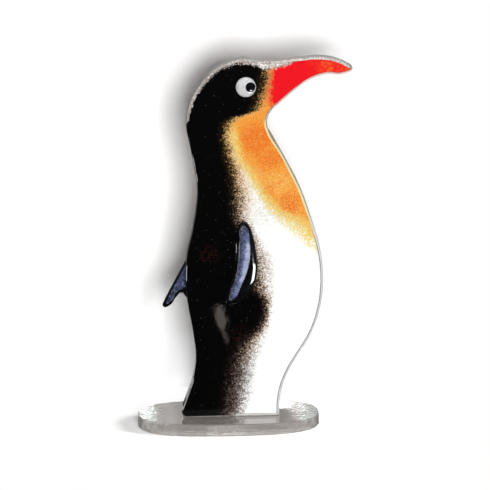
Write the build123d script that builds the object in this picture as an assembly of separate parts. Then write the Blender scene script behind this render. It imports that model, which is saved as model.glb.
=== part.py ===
from build123d import *

import math
import os

# Penguin figurine of kiln-fused glass, standing on a clear oval base plate.
#
# A clear glass sheet is cut to the penguin's outline and fired with coloured glass powder on its front:
# black on the head and back, orange on the chest, red on the beak and white on the belly. A black glass
# flipper is fused on the front and a second one on the back, each with a blue-grey inlay. The eye is a
# white glass bead with a black one let into it. A film of clear adhesive holds the foot on the base.
#
# Frame, in millimetres: the origin is the middle of the base's underside, +Z is up, +X is the way the
# beak points, and -Y is the painted front.

# Base plate
BASE_LENGTH = 89.0
BASE_DEPTH = 40.6
BASE_THICKNESS = 6.0
BASE_CHAMFER = 0.5
BASE_FACETS = 28
BASE_OVAL_POWER = 2.7

# Adhesive film under the foot
BOND_THICKNESS = 0.2
BOND_INSET = 0.3

# Figure: the size of its outline, the glass, and the powder fired into its front
FIGURE_WIDTH = 82.5
FIGURE_HEIGHT = 179.6
FIGURE_FORWARD = 3.8
SHEET_THICKNESS = 6.0
POWDER_DEPTH = 1.2
EDGE_ROUND = 1.0
RIM_GAP = 0.2

# Corner radii left on the flat faces, inside the rounded edge
HEEL_FLAT_ROUND = 1.6
TOE_FLAT_ROUND = 0.3
TIP_FLAT_ROUND = 0.4

# Flippers
FLIPPER_THICKNESS = 2.4
FLIPPER_ROUND = 1.0
FLIPPER_FLAT_ROUND = 1.0
REAR_TIP_FLAT_ROUND = 0.4
INLAY_DEPTH = 0.8
INLAY_PROUD = 0.3
INLAY_ROUND = 0.2
INLAY_FLAT_ROUND = 0.3

# Eye
EYE_DIAMETER = 9.8
EYE_HEIGHT = 2.2
PUPIL_DIAMETER = 4.9
PUPIL_DEPTH = 1.0
PUPIL_PROUD = 0.2

# How far a cutting tool runs past what it cuts
OVERRUN = 5.0

# Below this bend, as a share of its chord, an arc is drawn as a line.
STRAIGHT_SHARE = 0.001

# The drawing. Each point is x as a share of the figure's width, from the middle of the base, and z as a
# share of its height, from the foot. The corners are sharp here and get their radii from the sizes above.
TOE_SHARES = (0.3027, 0.0)
BEAK_TIP_SHARES = (0.7378, 0.9663)
HEEL_SHARES = (-0.2961, 0.0)

# From the toe up the belly and the throat to the underside of the beak
BELLY_SHARES = [
    (0.3039, 0.0534),
    (0.3354, 0.1090),
    (0.3984, 0.1648),
    (0.4748, 0.2205),
    (0.5233, 0.2761),
    (0.5499, 0.3318),
    (0.5572, 0.3875),
    (0.5378, 0.4710),
    (0.4857, 0.5546),
    (0.4214, 0.6381),
    (0.3305, 0.7216),
    (0.2639, 0.7772),
    (0.2275, 0.8095),
    (0.2239, 0.8301),
    (0.2469, 0.8540),
    (0.2978, 0.8757),
    (0.3936, 0.9134),
    (0.4833, 0.9410),
    (0.5669, 0.9528),
    (0.6578, 0.9521),
]

# From the top of the beak over the crown and down the back to the heel
BACK_SHARES = [
    (0.6748, 0.9832),
    (0.6093, 0.9950),
    (0.5233, 1.0000),
    (0.4227, 0.9972),
    (0.3014, 0.9916),
    (0.1681, 0.9916),
    (0.0760, 0.9961),
    (-0.0125, 0.9860),
    (-0.0707, 0.9722),
    (-0.1592, 0.9315),
    (-0.2246, 0.8797),
    (-0.2476, 0.8218),
    (-0.2228, 0.7494),
    (-0.1992, 0.6937),
    (-0.1834, 0.6381),
    (-0.1931, 0.5824),
    (-0.2137, 0.5266),
    (-0.2464, 0.4599),
    (-0.2561, 0.3986),
    (-0.2470, 0.3318),
    (-0.2161, 0.2483),
    (-0.1980, 0.1648),
    (-0.2149, 0.1090),
    (-0.2549, 0.0534),
]

# Above this height the bare rim runs round the head; below it the black reaches the edge of the glass.
RIM_END_SHARE = 0.829

# Edge of the black powder: from above the crown, round the cheek, down the neck and flank to the foot
BLACK_EDGE_SHARES = [
    (0.2172, 1.0299),
    (0.2042, 0.9601),
    (0.2002, 0.9152),
    (0.1772, 0.8774),
    (0.1072, 0.8495),
    (0.0172, 0.8405),
    (-0.0328, 0.8236),
    (-0.0428, 0.7857),
    (-0.0228, 0.7209),
    (0.0422, 0.6412),
    (0.1122, 0.5515),
    (0.1822, 0.4717),
    (0.2072, 0.3920),
    (0.1992, 0.2923),
    (0.1572, 0.1877),
    (0.0922, 0.0980),
    (0.0372, -0.0266),
]

# Edge of the red powder, from above the beak's root down behind it to the throat
RED_EDGE_SHARES = [
    (0.2442, 1.0299),
    (0.2402, 0.9601),
    (0.2402, 0.9103),
    (0.2592, 0.8794),
    (0.3272, 0.8604),
]

# Upper edge of the white powder, from the black on the left down across the chest
WHITE_EDGE_SHARES = [
    (-0.0028, 0.6232),
    (0.1192, 0.6013),
    (0.2402, 0.5564),
    (0.3612, 0.5285),
    (0.4822, 0.4797),
    (0.6172, 0.4219),
]

# The front flipper and its inlay: the shoulder, the side towards the belly, the tip, the side towards
# the back
FRONT_SHOULDER_SHARES = (0.0872, 0.5574)
FRONT_OUTER_SHARES = [
    (0.1212, 0.5375),
    (0.1452, 0.5046),
    (0.1612, 0.4598),
    (0.1682, 0.4149),
    (0.1422, 0.3661),
    (0.0772, 0.3292),
]
FRONT_TIP_SHARES = (-0.0298, 0.3143)
FRONT_INNER_SHARES = [
    (-0.0078, 0.3541),
    (0.0272, 0.4149),
    (0.0372, 0.4598),
    (0.0402, 0.5046),
    (0.0532, 0.5365),
]
FRONT_INLAY_SHOULDER_SHARES = (0.0832, 0.5445)
FRONT_INLAY_OUTER_SHARES = [
    (0.1072, 0.5325),
    (0.1208, 0.4966),
    (0.1214, 0.4478),
    (0.1012, 0.4089),
    (0.0692, 0.3721),
    (0.0352, 0.3402),
]
FRONT_INLAY_TIP_SHARES = (0.0010, 0.3300)
FRONT_INLAY_INNER_SHARES = [
    (0.0082, 0.3581),
    (0.0392, 0.3970),
    (0.0572, 0.4478),
    (0.0612, 0.4996),
    (0.0642, 0.5305),
]

# The back flipper and its inlay, from the shoulder down to the tip, back to the root and up again; most
# of the shoulder lies behind the figure
REAR_SHOULDER_SHARES = (-0.2168, 0.4638)
REAR_UPPER_SHARES = [
    (-0.2864, 0.4031),
    (-0.3507, 0.3474),
]
REAR_TIP_SHARES = (-0.4038, 0.2974)
REAR_LOWER_SHARES = [
    (-0.3410, 0.3084),
    (-0.3083, 0.3296),
    (-0.2780, 0.3413),
    (-0.2528, 0.3302),
]
REAR_ROOT_SHARES = (-0.2228, 0.2923)
REAR_INNER_SHARES = [
    (-0.1878, 0.3322),
    (-0.1748, 0.3870),
    (-0.1878, 0.4269),
]
REAR_INLAY_SHOULDER_SHARES = (-0.2528, 0.4219)
REAR_INLAY_OUTER_SHARES = [
    (-0.2888, 0.3875),
    (-0.3314, 0.3530),
]
REAR_INLAY_TIP_SHARES = (-0.3728, 0.3093)
REAR_INLAY_INNER_SHARES = [
    (-0.3378, 0.3195),
    (-0.3068, 0.3441),
    (-0.2668, 0.3561),
    (-0.2358, 0.3641),
    (-0.2258, 0.3970),
]

EYE_CENTRE_SHARES = (0.0990, 0.9209)
PUPIL_CENTRE_SHARES = (0.1240, 0.9225)

# Places that follow from the sizes above
figure_thickness = SHEET_THICKNESS + POWDER_DEPTH
foot_z = BASE_THICKNESS + BOND_THICKNESS
front_y = -FIGURE_FORWARD - figure_thickness / 2
back_y = front_y + figure_thickness
powder_back_y = front_y + POWDER_DEPTH
rim_margin = EDGE_ROUND + RIM_GAP
blunt_radius = FLIPPER_ROUND + FLIPPER_FLAT_ROUND
inlay_radius = INLAY_ROUND + INLAY_FLAT_ROUND
far_left = -FIGURE_WIDTH - OVERRUN
far_right = FIGURE_WIDTH + OVERRUN
low_z = foot_z - OVERRUN
high_z = foot_z + FIGURE_HEIGHT + OVERRUN


def place(shares):
    """A point of the drawing, given in shares of the figure's width and height."""
    return Vector(shares[0] * FIGURE_WIDTH, foot_z + shares[1] * FIGURE_HEIGHT)


def heading_at(before, here, after):
    """The direction in which the circle through three points passes the middle one."""
    coming = here - before
    going = after - here
    return (coming / coming.length**2 + going / going.length**2).normalized()


def bend(start, end, heading):
    """An arc from start to end that leaves along the heading, or a line where it hardly bends."""
    chord = end - start
    if abs(heading.cross(chord).Z) < STRAIGHT_SHARE * chord.length:
        return Line(start, end)
    return TangentArc(start, end, tangent=heading)


def double_bend(start, end, start_heading, end_heading):
    """Two arcs that meet smoothly halfway and keep to the headings at both ends."""
    chord = end - start
    both = start_heading + end_heading
    along = chord.dot(both)
    spread = 2 * (1 - start_heading.dot(end_heading))
    reach = chord.dot(chord) / (along + math.sqrt(along**2 + spread * chord.dot(chord)))
    middle = (start + end + (start_heading - end_heading) * reach) / 2
    middle_heading = (chord - both * reach).normalized()
    return [bend(start, middle, start_heading), bend(middle, end, middle_heading)]


def smooth_run(rows):
    """A chain of arcs, each tangent to the next, through the points of a table of shares."""
    spots = [place(row) for row in rows]
    headings = [heading_at(*spots[i - 1 : i + 2]) for i in range(1, len(spots) - 1)]
    edges = [bend(spots[1], spots[0], -headings[0])]
    for i in range(1, len(spots) - 2):
        edges += double_bend(spots[i], spots[i + 1], headings[i - 1], headings[i])
    edges.append(bend(spots[-2], spots[-1], headings[-1]))
    return edges


def rounded(face, corner_shares, radius):
    """The face with its corner nearest to a point of the drawing rounded."""
    spot = place(corner_shares)
    corner = face.vertices().sort_by_distance(spot)[0]
    return fillet(corner, radius)


def leaf_face(corners, sides, radii):
    """A leaf shape: rounded corners, with a smooth side from each one to the next."""
    edges = []
    for i, side in enumerate(sides):
        edges += smooth_run([corners[i], *side, corners[i + 1 - len(corners)]])
    face = make_face(edges)
    for corner, radius in zip(corners, radii):
        face = rounded(face, corner, radius)
    return face


def outline_face():
    """The penguin's outline: the belly and the back meet at the beak's tip, and the foot is straight."""
    belly = smooth_run([TOE_SHARES, *BELLY_SHARES, BEAK_TIP_SHARES])
    back = smooth_run([BEAK_TIP_SHARES, *BACK_SHARES, HEEL_SHARES])
    foot = Line(place(HEEL_SHARES), place(TOE_SHARES))
    face = make_face([*belly, *back, foot])
    face = rounded(face, TOE_SHARES, EDGE_ROUND + TOE_FLAT_ROUND)
    face = rounded(face, BEAK_TIP_SHARES, EDGE_ROUND + TIP_FLAT_ROUND)
    return rounded(face, HEEL_SHARES, EDGE_ROUND + HEEL_FLAT_ROUND)


def powder_face():
    """The area that carries powder: inside a bare rim, but to the edge of the glass down the back."""
    inner = offset(outline_face(), -rim_margin)
    right_x = place(BLACK_EDGE_SHARES[-1]).X
    top_z = place((0, RIM_END_SHARE)).Y
    corners = [(far_left, low_z), (right_x, low_z), (right_x, top_z), (far_left, top_z)]
    return inner + make_face(Polyline(*corners, close=True))


def zone_face(rows, *corners):
    """The area between a smooth run across the drawing and the corners that close it."""
    around = Polyline(place(rows[-1]), *corners, place(rows[0]))
    return make_face([*smooth_run(rows), around])


def plate(face, near, far):
    """A solid plate with a flat outline drawn in x and z, reaching from y = near to y = far."""
    drawn = Plane((0, near, 0), x_dir=(1, 0, 0), z_dir=(0, -1, 0)) * face
    return extrude(drawn, amount=far - near, dir=(0, 1, 0))


def oval_corner(turn):
    """A corner of the base's outline: a point of an oval drawn out towards its rectangle."""
    power = 2 / BASE_OVAL_POWER
    across = math.copysign(abs(math.cos(turn)) ** power, math.cos(turn))
    along = math.copysign(abs(math.sin(turn)) ** power, math.sin(turn))
    reach = math.cos(math.pi / BASE_FACETS) ** power
    return (across / reach * BASE_LENGTH / 2, along / reach * BASE_DEPTH / 2)


def base_plate():
    """Oval of clear plate glass with a hand-ground rim of flat facets, chamfered above and below."""
    step = 2 * math.pi / BASE_FACETS
    corners = [oval_corner((i + 0.5) * step) for i in range(BASE_FACETS)]
    slab = extrude(make_face(Polyline(*corners, close=True)), amount=BASE_THICKNESS)
    levels = slab.faces().sort_by(Axis.Z)
    return chamfer(levels[0].edges() + levels[-1].edges(), BASE_CHAMFER)


def glass_blank():
    """The whole fired figure before it is told apart into glass and powder."""
    blank = plate(outline_face(), front_y, back_y)
    sides = blank.faces().sort_by(Axis.Y)
    return fillet(sides[0].edges() + sides[-1].edges(), EDGE_ROUND)


def colour_tool(face):
    """A cutter with the given outline that passes right through the powder."""
    return plate(face, front_y - OVERRUN, powder_back_y + OVERRUN)


def glass_and_powder():
    """The clear sheet and the four fields of powder fused into its front."""
    blank = glass_blank()
    powder = plate(powder_face(), front_y - OVERRUN, powder_back_y)
    sheet = blank - powder
    layer = blank & powder
    black_tool = colour_tool(zone_face(BLACK_EDGE_SHARES, (far_left, low_z), (far_left, high_z)))
    throat_z = place(RED_EDGE_SHARES[-1]).Y
    red_tool = colour_tool(zone_face(RED_EDGE_SHARES, (far_right, throat_z), (far_right, high_z)))
    white_tool = colour_tool(zone_face(WHITE_EDGE_SHARES, (far_right, low_z), (far_left, low_z)))
    black = layer & black_tool
    front = layer - black_tool
    red = front & red_tool
    breast = front - red_tool
    white = breast & white_tool
    orange = breast - white_tool
    return sheet, black, red, orange, white


def front_flipper():
    """A pillow of black glass on the belly side, and the blue-grey inlay that stands proud of it."""
    leaf = leaf_face(
        [FRONT_SHOULDER_SHARES, FRONT_TIP_SHARES],
        [FRONT_OUTER_SHARES, FRONT_INNER_SHARES],
        [blunt_radius, blunt_radius],
    )
    top_y = front_y - FLIPPER_THICKNESS
    pillow = plate(leaf, top_y, front_y)
    pillow = fillet(pillow.faces().sort_by(Axis.Y)[0].edges(), FLIPPER_ROUND)
    strip = leaf_face(
        [FRONT_INLAY_SHOULDER_SHARES, FRONT_INLAY_TIP_SHARES],
        [FRONT_INLAY_OUTER_SHARES, FRONT_INLAY_INNER_SHARES],
        [inlay_radius, inlay_radius],
    )
    inlay = plate(strip, top_y - INLAY_PROUD, top_y + INLAY_DEPTH)
    inlay = fillet(inlay.faces().sort_by(Axis.Y)[0].edges(), INLAY_ROUND)
    return pillow - inlay, inlay


def back_flipper():
    """A pillow of black glass against the back of the sheet, and its flush inlay on the viewer's side."""
    leaf = leaf_face(
        [REAR_SHOULDER_SHARES, REAR_TIP_SHARES, REAR_ROOT_SHARES],
        [REAR_UPPER_SHARES, REAR_LOWER_SHARES, REAR_INNER_SHARES],
        [blunt_radius, FLIPPER_ROUND + REAR_TIP_FLAT_ROUND, blunt_radius],
    )
    pillow = plate(leaf, back_y, back_y + FLIPPER_THICKNESS)
    sides = pillow.faces().sort_by(Axis.Y)
    pillow = fillet(sides[0].edges() + sides[-1].edges(), FLIPPER_ROUND)
    strip = leaf_face(
        [REAR_INLAY_SHOULDER_SHARES, REAR_INLAY_TIP_SHARES],
        [REAR_INLAY_OUTER_SHARES, REAR_INLAY_INNER_SHARES],
        [inlay_radius, inlay_radius],
    )
    inlay = plate(strip, back_y, back_y + INLAY_DEPTH)
    return pillow - inlay, inlay


def disc(shares, diameter, near, far):
    """A round plate about a point of the drawing, reaching from y = near to y = far."""
    spot = place(shares)
    return plate(Pos(spot.X, spot.Y) * Circle(diameter / 2), near, far)


def eye():
    """The white bead, a spherical cap on the powder, and the black one let into it."""
    cap_radius = (EYE_DIAMETER**2 / 4 + EYE_HEIGHT**2) / (2 * EYE_HEIGHT)
    top_y = front_y - EYE_HEIGHT
    spot = place(EYE_CENTRE_SHARES)
    ball = Pos(spot.X, top_y + cap_radius, spot.Y) * Sphere(cap_radius)
    bead = ball & disc(EYE_CENTRE_SHARES, EYE_DIAMETER + OVERRUN, top_y - OVERRUN, front_y)
    plug = disc(PUPIL_CENTRE_SHARES, PUPIL_DIAMETER, top_y - OVERRUN, top_y + PUPIL_DEPTH)
    raised_ball = Pos(0, -PUPIL_PROUD, 0) * ball
    return bead - plug, raised_ball & plug


def foot_bond():
    """The film of adhesive between the foot's flat and the base."""
    left_x = place(HEEL_SHARES).X + 2 * (EDGE_ROUND + HEEL_FLAT_ROUND) + BOND_INSET
    right_x = place(TOE_SHARES).X - EDGE_ROUND - TOE_FLAT_ROUND - BOND_INSET
    width = figure_thickness - 2 * EDGE_ROUND - 2 * BOND_INSET
    film = Box(right_x - left_x, width, BOND_THICKNESS)
    return Pos((right_x + left_x) / 2, -FIGURE_FORWARD, BASE_THICKNESS + BOND_THICKNESS / 2) * film


def main():
    os.makedirs("parts", exist_ok=True)
    sheet, black, red, orange, white = glass_and_powder()
    front_leaf, front_inlay = front_flipper()
    back_leaf, back_inlay = back_flipper()
    eye_bead, pupil_bead = eye()
    nodes = {
        "base_plate": base_plate(),
        "foot_bond": foot_bond(),
        "clear_sheet": sheet,
        "black_powder_field": black,
        "red_powder_field": red,
        "orange_powder_field": orange,
        "white_powder_field": white,
        "front_flipper": front_leaf,
        "front_flipper_inlay": front_inlay,
        "back_flipper": back_leaf,
        "back_flipper_inlay": back_inlay,
        "eye_bead": eye_bead,
        "pupil_bead": pupil_bead,
    }
    for name, shape in nodes.items():
        export_step(shape, f"parts/{name}.step")


main()
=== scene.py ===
import math

import bmesh
import bpy
from mathutils import Matrix, Vector, kdtree


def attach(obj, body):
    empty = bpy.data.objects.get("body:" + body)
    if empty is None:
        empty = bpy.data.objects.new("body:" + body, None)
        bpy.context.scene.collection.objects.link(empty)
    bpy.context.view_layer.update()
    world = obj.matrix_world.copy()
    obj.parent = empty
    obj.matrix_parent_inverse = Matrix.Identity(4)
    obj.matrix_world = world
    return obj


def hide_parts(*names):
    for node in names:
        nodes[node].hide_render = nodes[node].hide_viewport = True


# Penguin figurine of kiln-fused glass on a clear oval base. The beak points to +X, the powdered front
# faces -Y, and the origin is the middle of the base's underside. Lengths are in millimetres, and turns
# and rises of the camera and lights in degrees.

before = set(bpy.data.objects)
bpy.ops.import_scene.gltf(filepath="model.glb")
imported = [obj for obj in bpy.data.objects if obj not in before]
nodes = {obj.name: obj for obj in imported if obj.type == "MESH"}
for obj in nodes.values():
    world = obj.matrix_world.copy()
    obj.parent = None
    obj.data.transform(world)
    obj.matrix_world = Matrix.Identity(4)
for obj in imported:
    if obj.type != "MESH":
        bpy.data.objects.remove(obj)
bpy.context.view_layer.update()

MM = 0.001
PER_METRE = 1000.0

# Camera, at the photograph's angle
AIM = Vector((8.2, 0.0, 91.3))
CAMERA_DISTANCE = 1600.0
CAMERA_TURN = -3.5
CAMERA_RISE = 15.0
LENS = 241.0
SENSOR = 36.0

# Places and sizes of the glass
FRONT = -7.4
RIM_BACK = -6.3
RIM_DEPTH = 1.5
FLIPPER_DEPTH = 2.4
INLAY_FLOOR = -9.0
EYE_ACROSS = 8.17
EYE_UP = 171.59
EYE_RADIUS = 4.9
EYE_HEIGHT = 2.2
PUPIL_ACROSS = 10.23
PUPIL_UP = 171.88
PUPIL_RADIUS = 2.45
PUPIL_DOME = 0.72
PUPIL_SKIRT = 0.5
PUPIL_SEAT = 1.66
PUPIL_LEAN = math.radians(12)

# How the softened pieces are shaped. A fall is how far a face has sunk at its outline, and from how far in
LEAF_FALL = (1.5, 4.4)
STRIP_FALL = (0.3, 1.2)
LEAF_VOXEL = 0.25
OUTLINE_STEP = 0.15
MERGE = 0.001
STRAIGHT = 0.999
SMOOTHING = 0.5
SHARP_ANGLE = math.radians(35)
DOME_STEPS = 14
DOME_TURNS = 48

# Large soft lights: turn, rise and distance, width and height, and how strong
KEY_LIGHT = (2.5, 10.5, 1700.0, (430.0, 430.0), 31.0)
FLOOR_LIGHT = (14.0, 48.0, 1300.0, (460.0, 420.0), 5.2)
CONTACT_LIGHT = (78.0, 30.0, 1300.0, (380.0, 380.0), 20.0)
BACK_FILL = (165.0, 22.0, 1500.0, (900.0, 600.0), 32.0)
BODY_MIDDLE = (8.0, 0.0, 90.0)
# Lights given by place and target, width and height, and how strong
OVERHEAD = ((0.0, -150.0, 1300.0), (0.0, -60.0, 0.0), (900.0, 200.0), 5.0)
RIGHT_GLINT = ((108.0, -150.0, 12.0), (13.0, -9.0, 76.0), (60.0, 70.0), 0.5)
LEFT_GLINT = ((-225.0, -60.0, 24.0), (-15.0, -4.0, 98.0), (150.0, 26.0), 0.3)
# Highlights on the base's top: name, across, up, width and height, and how strong
BASE_GLINTS = [("left_end", -40.0, 20.0, (9.0, 12.0), 0.0012), ("right_end", 35.0, 20.0, (16.0, 8.0), 0.0014)]
BEHIND_BASE = 60.0
# A low flame seen in the black: name, across, in front, width and depth, and how strong
FLAME_GLINTS = [("flame", 5.9, -197.0, (6.5, 44.0), 0.0034), ("flame_tail", 6.6, -163.0, (2.6, 36.0), 0.0006)]
FLAME_UP = 1.0
FLAME_AIM = Vector((0.0, 0.0, 500.0))
FLAME_COLOUR = (1.0, 0.84, 0.74)
ROOM_LEVEL = 0.15

# The cards of the stage
PURE_WHITE = (1.0, 1.0, 1.0, 1.0)
CARD_WHITE = (0.92, 0.92, 0.92, 1.0)
CARD_BOUNCE = (0.15, 0.15, 0.15, 1.0)
FLOOR_MIRRORED = (0.04, 0.04, 0.04, 1.0)
WALL_MIRRORED = (0.25, 0.25, 0.25, 1.0)
WALL_FOOT_MIRRORED = (0.8, 0.8, 0.8, 1.0)
WALL_FOOT_UP = (34.0, 46.0)
WALL_FOOT_ACROSS = (70.0, 90.0)
WALL_BEHIND = 62.0
STAGE_HALF = 1500.0
STAGE_DROP = 0.1
# Where the cards glow plain white for the camera, painted light over their own shading: far away, and beside
# the foot of the wall
FADE_ACROSS = (56.0, 74.0)
FADE_FORWARD = (-40.0, -70.0)
FADE_UP = (210.0, 260.0)
CORNER_BACK = (14.0, 44.0)
CORNER_UP = (32.0, 3.0)
CORNER_ACROSS = (6.0, 24.0)

# The display curve that a colour of 0 to 255 is given in
DISPLAY_MOST = 255
DISPLAY_KNEE = 0.04045
DISPLAY_SLOPE = 12.92
DISPLAY_OFFSET = 0.055
DISPLAY_POWER = 2.4
STUDIO_LEVEL = 1.2


def direction(turn, rise):
    """The direction from the object towards a camera or light, 0 being straight in front of it."""
    turn, rise = math.radians(turn), math.radians(rise)
    across = math.cos(rise)
    return Vector((math.sin(turn) * across, -math.cos(turn) * across, math.sin(rise)))


def aimed(place, target):
    """A placement at a point that looks towards a target."""
    place, target = Vector(place) * MM, Vector(target) * MM
    look = (target - place).to_track_quat("-Z", "Y")
    return Matrix.Translation(place) @ look.to_matrix().to_4x4()


def add_camera():
    data = bpy.data.cameras.new("camera")
    data.lens = LENS
    data.sensor_width = SENSOR
    camera = bpy.data.objects.new("camera", data)
    camera.matrix_world = aimed(AIM + direction(CAMERA_TURN, CAMERA_RISE) * CAMERA_DISTANCE, AIM)
    bpy.context.scene.collection.objects.link(camera)
    bpy.context.scene.camera = camera


class Recipe:
    """The nodes of one finish, with short ways to add and join them."""

    def __init__(self, tree):
        self.tree = tree
        tree.nodes.clear()

    def feed(self, socket, value):
        """Joins a socket to another one, or sets its value."""
        if isinstance(value, bpy.types.NodeSocket):
            self.tree.links.new(value, socket)
        else:
            socket.default_value = value

    def add(self, kind, settings=None, inputs=None):
        """A node with its settings, and its inputs by name or number."""
        node = self.tree.nodes.new(kind)
        for name, value in (settings or {}).items():
            setattr(node, name, value)
        for name, value in (inputs or {}).items():
            self.feed(node.inputs[name], value)
        return node

    def math(self, operation, *values, clamp=False):
        settings = {"operation": operation, "use_clamp": clamp}
        return self.add("ShaderNodeMath", settings, dict(enumerate(values))).outputs[0]

    def plus(self, first, second, clamp=False):
        return self.math("ADD", first, second, clamp=clamp)

    def minus(self, first, second):
        return self.math("SUBTRACT", first, second)

    def ratio(self, first, second, clamp=False):
        return self.math("DIVIDE", first, second, clamp=clamp)

    def times(self, first, *others, clamp=False):
        for value in others:
            first = self.math("MULTIPLY", first, value, clamp=clamp)
        return first

    def larger(self, first, second):
        return self.math("MAXIMUM", first, second)

    def unsigned(self, value):
        """A value without its sign."""
        return self.math("ABSOLUTE", value)

    def about(self, start, gain, value):
        """A start value, and a gain for how much of another value comes on top."""
        return self.plus(start, self.times(value, gain))

    def ramp(self, value, low, high, smooth=False):
        """0 up to a value of low, 1 from high, and in between them in between."""
        kind = "SMOOTHSTEP" if smooth else "LINEAR"
        inputs = {"Value": value, "From Min": low, "From Max": high}
        return self.add("ShaderNodeMapRange", {"interpolation_type": kind}, inputs).outputs[0]

    def mix(self, share, first, second, blend="MIX"):
        node = self.add("ShaderNodeMix", {"data_type": "RGBA", "blend_type": blend})
        colours = [socket for socket in node.inputs if socket.type == "RGBA"]
        self.feed(node.inputs["Factor"], share)
        self.feed(colours[0], first)
        self.feed(colours[1], second)
        return next(socket for socket in node.outputs if socket.type == "RGBA")

    def tones(self, value, stops):
        """A colour for each value from 0 to 1, from stops of value and colour."""
        node = self.add("ShaderNodeValToRGB", None, {"Fac": value})
        scale = node.color_ramp
        scale.elements[0].position, scale.elements[0].color = stops[0]
        scale.elements[1].position, scale.elements[1].color = stops[-1]
        for at, tone in stops[1:-1]:
            scale.elements.new(at).color = tone
        return node.outputs["Color"]

    def noise(self, place, size, detail=2.0):
        inputs = {"Vector": place, "Scale": 1.0 / size, "Detail": detail}
        return self.add("ShaderNodeTexNoise", None, inputs).outputs[0]

    def cells(self, place, size):
        """Grains of about one size, as three chance numbers for each grain."""
        inputs = {"Vector": place, "Scale": 1.0 / size}
        colour = self.add("ShaderNodeTexVoronoi", None, inputs).outputs["Color"]
        return self.add("ShaderNodeSeparateColor", None, {"Color": colour}).outputs

    def parts(self, vector):
        return self.add("ShaderNodeSeparateXYZ", None, {"Vector": vector}).outputs

    def group(self, tree, inputs):
        return self.add("ShaderNodeGroup", {"node_tree": tree}, inputs).outputs

    def place_mm(self):
        """The place on the object, in millimetres."""
        point = self.add("ShaderNodeTexCoord").outputs["Object"]
        scale = {"Vector": point, "Scale": (PER_METRE, PER_METRE, PER_METRE)}
        return self.add("ShaderNodeMapping", None, scale).outputs[0]

    def facing_up(self):
        """How far the surface faces up, from -1 to 1."""
        return self.parts(self.add("ShaderNodeNewGeometry").outputs["Normal"])["Z"]

    def along(self, value, rows, start, length, low, span):
        """A smooth function given by a few rows of value and result."""
        curve = self.add("ShaderNodeFloatCurve")
        line = curve.mapping.curves[0]
        shares = [((at - start) / length, (result - low) / span) for at, result in rows]
        line.points[0].location = shares[0]
        line.points[1].location = shares[-1]
        for share in shares[1:-1]:
            line.points.new(*share)
        curve.mapping.update()
        self.feed(curve.inputs["Value"], self.ramp(value, start, start + length))
        return self.about(low, span, curve.outputs[0])

    def across_at(self, height, rows):
        """How far right an edge lies at a height, from rows of height and place."""
        return self.along(height, rows, 0.0, TABLE_HIGH, TABLE_LEFT, TABLE_WIDTH)

    def blend(self, share, first, second):
        """Two shaders mixed."""
        return self.add("ShaderNodeMixShader", None, {0: share, 1: first, 2: second}).outputs[0]

    def finish(self, shader):
        self.feed(self.add("ShaderNodeOutputMaterial").inputs["Surface"], shader)


def colour(red, green, blue):
    """A display colour as the light it stands for."""
    light = []
    for part in (red / DISPLAY_MOST, green / DISPLAY_MOST, blue / DISPLAY_MOST):
        bent = ((part + DISPLAY_OFFSET) / (1 + DISPLAY_OFFSET)) ** DISPLAY_POWER
        light.append(part / DISPLAY_SLOPE if part <= DISPLAY_KNEE else bent)
    return (*light, 1.0)


def shown(red, green, blue):
    """The colour of a glass that looks so under the studio lights."""
    return (*(part / STUDIO_LEVEL for part in colour(red, green, blue)[:3]), 1.0)


# The drawing in powder: how far right each edge lies at each height
TABLE_HIGH = 200.0
TABLE_LEFT = -50.0
TABLE_WIDTH = 120.0
SOLID_BLACK_ROWS = [
    (0, -8.0), (7.8, -7.6), (11, -6.6), (16, -6.4), (21, -6.0), (26, -5.0), (33, -4.0), (38, -2.0),
    (42, 0.2), (46, 3.0), (50, 8.0), (54, 12.0), (58, 13.6), (63, 13.6), (67, 11.6), (71, 8.0),
    (76, 6.0), (81, 5.0), (86, 4.0), (91, 3.6), (96, 3.6), (101, 1.6), (106, -0.4), (111, -1.4),
    (116, -1.4), (121, -1.8), (126, -2.4), (131, -3.0), (136, -4.4), (141, -5.3), (146, -6.0), (151, -5.8),
    (155, -4.2), (157, -2.0), (157.9, 0.8), (158.6, 4.5), (159.6, 7.4), (161.5, 7.6), (164, 8.6),
    (169, 10.0), (173, 11.4), (178, 12.0), (183, 12.0), (200, 14.0),
]
BARE_OF_BLACK_ROWS = [
    (0, 9.6), (7.8, 9.6), (11, 10.6), (16, 12.0), (21, 13.0), (26, 14.2), (31, 14.6), (36, 15.8),
    (41, 17.8), (46, 19.4), (51, 20.6), (56, 21.4), (61, 22.0), (66, 23.0), (71, 24.2), (76, 24.6),
    (81, 24.8), (86, 24.2), (91, 21.6), (96, 18.6), (101, 15.8), (106, 13.4), (111, 13.0), (116, 13.6),
    (121, 12.6), (126, 11.0), (131, 9.2), (136, 6.6), (141, 4.8), (146, 3.8), (151, 3.8), (154, 5.2),
    (156, 8.0), (157.5, 11.6), (159, 15.0), (161, 18.4), (164, 20.4), (169, 22.0), (173, 22.8),
    (178, 23.2), (183, 23.2), (200, 23.2),
]
# How late the light grains come between those two edges
THINNING_MOST = 3.0
THINNING_ROWS = [
    (0, 1.2), (44, 1.3), (54, 1.6), (64, 1.4), (72, 1.0), (90, 1.0), (98, 1.0), (124, 1.0), (134, 1.1),
    (152, 1.1), (160, 1.3), (200, 1.4),
]
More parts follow.
